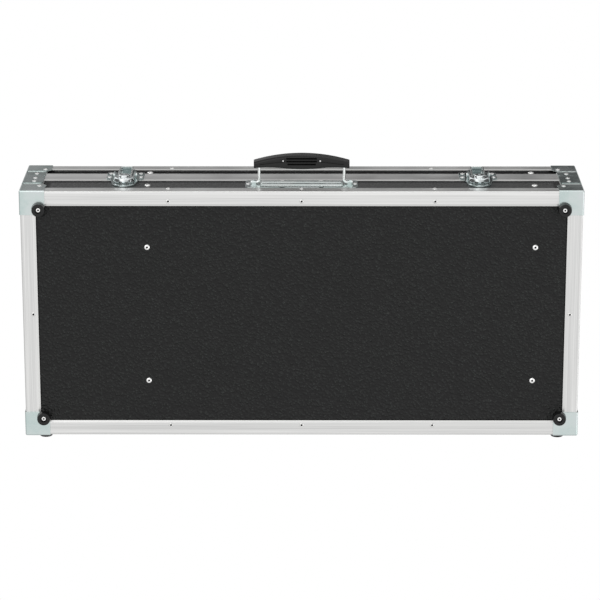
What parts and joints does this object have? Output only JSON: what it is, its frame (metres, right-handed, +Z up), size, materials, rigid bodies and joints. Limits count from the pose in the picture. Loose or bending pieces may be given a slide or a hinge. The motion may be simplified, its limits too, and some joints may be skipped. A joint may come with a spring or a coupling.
{
  "type": "flight case",
  "caption": "Shallow rectangular flight case: black panels in aluminium profiles, plated corners, hinged lid, toggle latches, folding handle and rubber feet.",
  "frame": {"origin": "on the surface that the case lies on, under the middle of its bounding box, handle included", "axes": "+X along the case's length, +Y from the handle wall to the hinge wall, +Z up from base to lid"},
  "size_m": [0.8064, 0.42, 0.1622],
  "materials": {
    "panel": "black laminate with a fine pebbled grain",
    "profile": "anodised extrusion with lengthwise lines",
    "zinc": "bright zinc-plated pressed steel",
    "fastener": "plated rivet and screw heads",
    "rubber": "black rubber feet",
    "grip": "black moulded grip",
    "wood": "black-stained plywood partition walls",
    "foam": "dark grey open-cell foam"
  },
  "bodies": {
    "base": {"base_bottom_panel": "panel", "base_front_panel": "panel", "base_back_panel": "panel", "base_left_panel": "panel", "base_right_panel": "panel", "base_edge_front": "profile", "base_edge_back": "profile", "base_edge_ends": "profile", "base_rim_front": "profile", "base_rim_back": "profile", "base_rim_ends": "profile", "base_corner_posts": "profile", "base_corner_braces": "zinc", "base_closing_corners": "zinc", "base_feet": "rubber", "base_rivets": "fastener", "base_screws": "fastener", "base_partition_left": "wood", "base_partition_right": "wood", "base_foam": "foam", "handle_plate": "zinc", "base_hinge_leaves": "zinc", "hinge_pins": "fastener", "latch_left_plate": "zinc", "latch_left_pivots": "fastener", "latch_right_plate": "zinc", "latch_right_pivots": "fastener"},
    "lid": {"lid_top_panel": "panel", "lid_front_panel": "panel", "lid_back_panel": "panel", "lid_left_panel": "panel", "lid_right_panel": "panel", "lid_edge_front": "profile", "lid_edge_back": "profile", "lid_edge_ends": "profile", "lid_rim_front": "profile", "lid_rim_back": "profile", "lid_rim_ends": "profile", "lid_corner_posts": "profile", "lid_corner_braces": "zinc", "lid_closing_corners": "zinc", "lid_feet": "rubber", "lid_rivets": "fastener", "lid_screws": "fastener", "lid_partition_left": "wood", "lid_partition_right": "wood", "lid_foam": "foam", "lid_hinge_leaves": "zinc", "latch_left_keeper": "zinc", "latch_right_keeper": "zinc"},
    "handle": {"handle_grip": "grip", "handle_arms": "zinc", "handle_pins": "fastener"},
    "latch_left_lever": {"latch_left_lever": "zinc", "latch_left_claw_pin": "fastener"},
    "latch_left_claw": {"latch_left_claw": "zinc"},
    "latch_right_lever": {"latch_right_lever": "zinc", "latch_right_claw_pin": "fastener"},
    "latch_right_claw": {"latch_right_claw": "zinc"}
  },
  "joints": [
    {"name": "lid_hinge", "type": "hinge", "parent": "base", "child": "lid", "pos_m": [0, 0.2043, 0.097], "axis": [-1, 0, 0], "range_deg": [0, 100]},
    {"name": "handle_fold", "type": "hinge", "parent": "base", "child": "handle", "pos_m": [0, -0.1687, 0.0535], "axis": [1, 0, 0], "range_deg": [-65, 65]},
    {"name": "latch_left_throw", "type": "hinge", "parent": "base", "child": "latch_left_lever", "pos_m": [-0.255, -0.1712, 0.086], "axis": [-1, 0, 0], "range_deg": [0, 110]},
    {"name": "latch_left_claw_swing", "type": "hinge", "parent": "latch_left_lever", "child": "latch_left_claw", "pos_m": [-0.255, -0.1712, 0.07], "axis": [-1, 0, 0], "range_deg": [-121, 0]},
    {"name": "latch_right_throw", "type": "hinge", "parent": "base", "child": "latch_right_lever", "pos_m": [0.255, -0.1712, 0.086], "axis": [-1, 0, 0], "range_deg": [0, 110]},
    {"name": "latch_right_claw_swing", "type": "hinge", "parent": "latch_right_lever", "child": "latch_right_claw", "pos_m": [0.255, -0.1712, 0.07], "axis": [-1, 0, 0], "range_deg": [-121, 0]}
  ],
  "couplings": [
    {"joint": "latch_left_claw_swing", "follows": "latch_left_throw", "ratio": -1.1},
    {"joint": "latch_right_claw_swing", "follows": "latch_right_throw", "ratio": -1.1}
  ]
}
